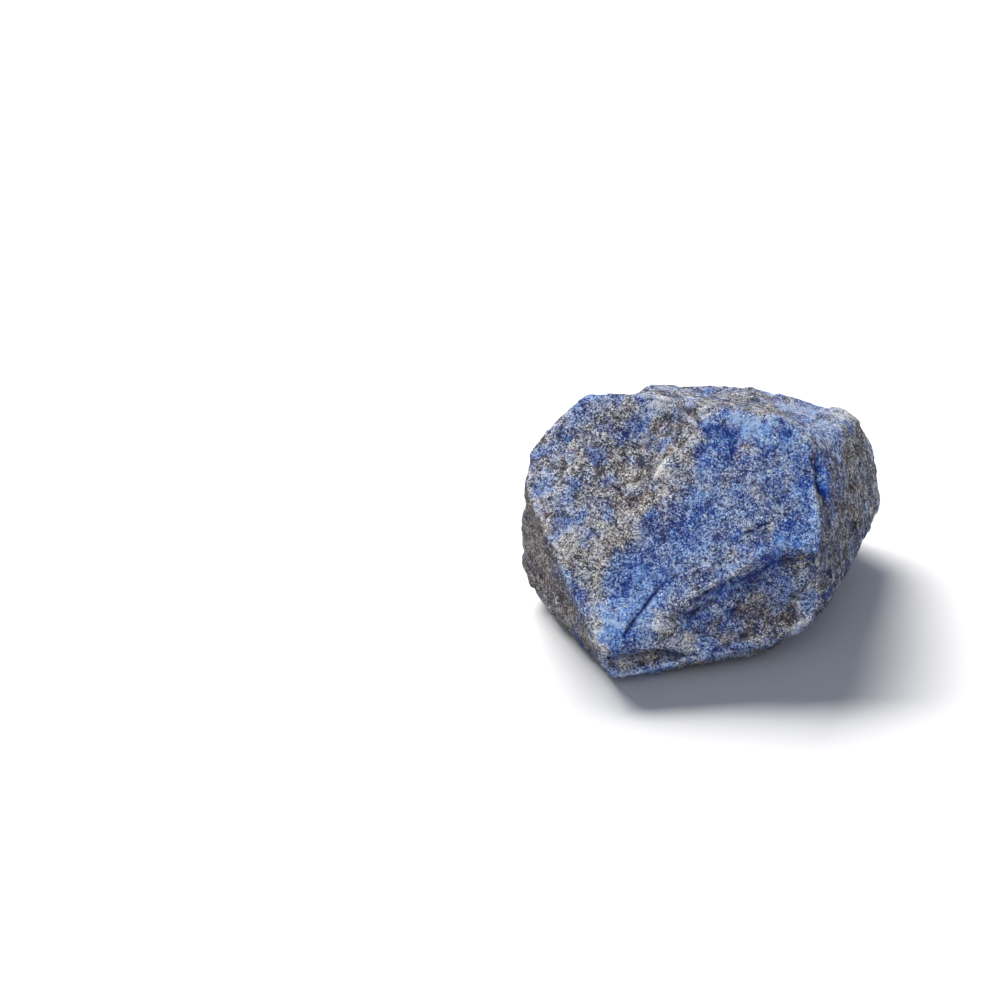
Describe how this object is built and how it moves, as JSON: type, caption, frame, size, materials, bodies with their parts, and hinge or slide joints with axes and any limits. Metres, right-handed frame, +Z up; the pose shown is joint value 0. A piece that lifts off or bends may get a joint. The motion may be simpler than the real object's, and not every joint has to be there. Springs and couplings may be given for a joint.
{
  "type": "rough lapis lazuli",
  "caption": "Rough broken lump of blue, grey and brown mottled lapis lazuli, resting on a flat spot underneath.",
  "frame": {"origin": "middle of the footprint box, on the surface that the stone rests on", "axes": "+X along the stone's length, -Y towards its broad sloping face, +Z up"},
  "size_m": [0.0412, 0.0304, 0.0224],
  "materials": {
    "lapis": "rough broken surface, sugary grain"
  },
  "bodies": {
    "root": {"stone": "lapis"}
  },
  "joints": []
}
